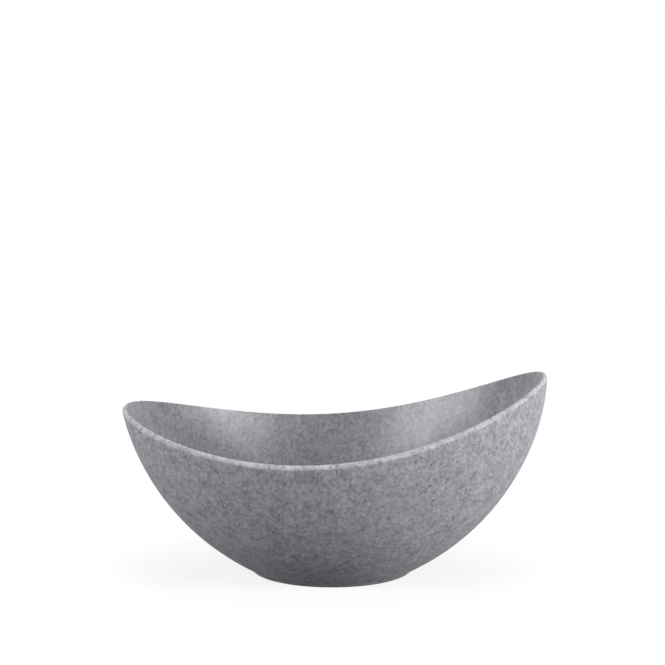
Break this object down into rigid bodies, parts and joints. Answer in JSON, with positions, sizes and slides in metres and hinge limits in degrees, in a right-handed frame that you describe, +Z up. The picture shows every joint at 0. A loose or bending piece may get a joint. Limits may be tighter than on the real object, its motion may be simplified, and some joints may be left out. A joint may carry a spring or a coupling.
{
  "type": "buffet bowl",
  "caption": "Oval serving bowl whose lip dips at the waist and rises to a high and a lower end, narrowing to a round foot; holds salad or other cold food on a buffet.",
  "frame": {"origin": "on the table, under the middle of the bowl's length and width", "axes": "+X towards the high end, +Z up"},
  "size_m": [0.2994, 0.2324, 0.141],
  "materials": {
    "speckled_melamine": "satin",
    "clear_glaze": "satin"
  },
  "bodies": {
    "root": {"bowl_body": "speckled_melamine", "food_side_glaze": "clear_glaze"}
  },
  "joints": []
}
